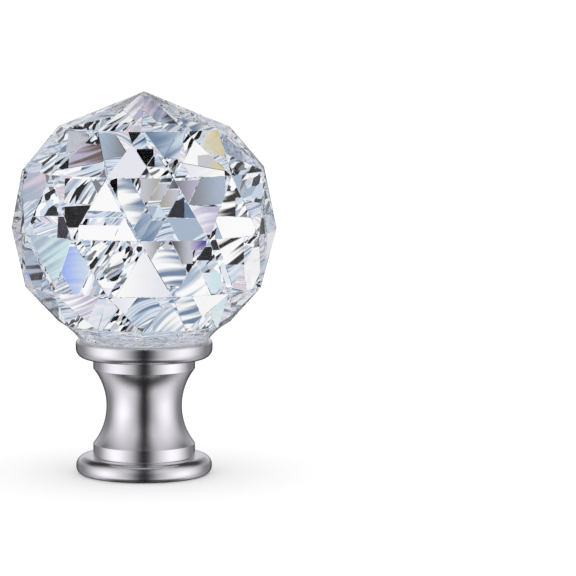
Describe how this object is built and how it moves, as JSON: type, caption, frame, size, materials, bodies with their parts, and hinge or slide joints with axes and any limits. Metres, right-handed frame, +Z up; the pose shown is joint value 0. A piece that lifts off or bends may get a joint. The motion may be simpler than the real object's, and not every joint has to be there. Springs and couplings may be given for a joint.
{
  "type": "lamp shade finial",
  "caption": "Faceted crystal ball on a turned satin nickel stem, a finial that screws onto a lamp harp's stud and holds the shade down.",
  "frame": {"origin": "centre of the stem's underside, on its axis", "axes": "+Z up along the stem's axis to the ball's point, -Y towards the picture's camera"},
  "size_m": [0.0294, 0.0294, 0.0426],
  "materials": {
    "crystal": "clear crystal, cut in flat facets and polished",
    "nickel": "satin nickel, turned"
  },
  "bodies": {
    "root": {"crystal_ball": "crystal", "metal_stem": "nickel"}
  },
  "joints": []
}
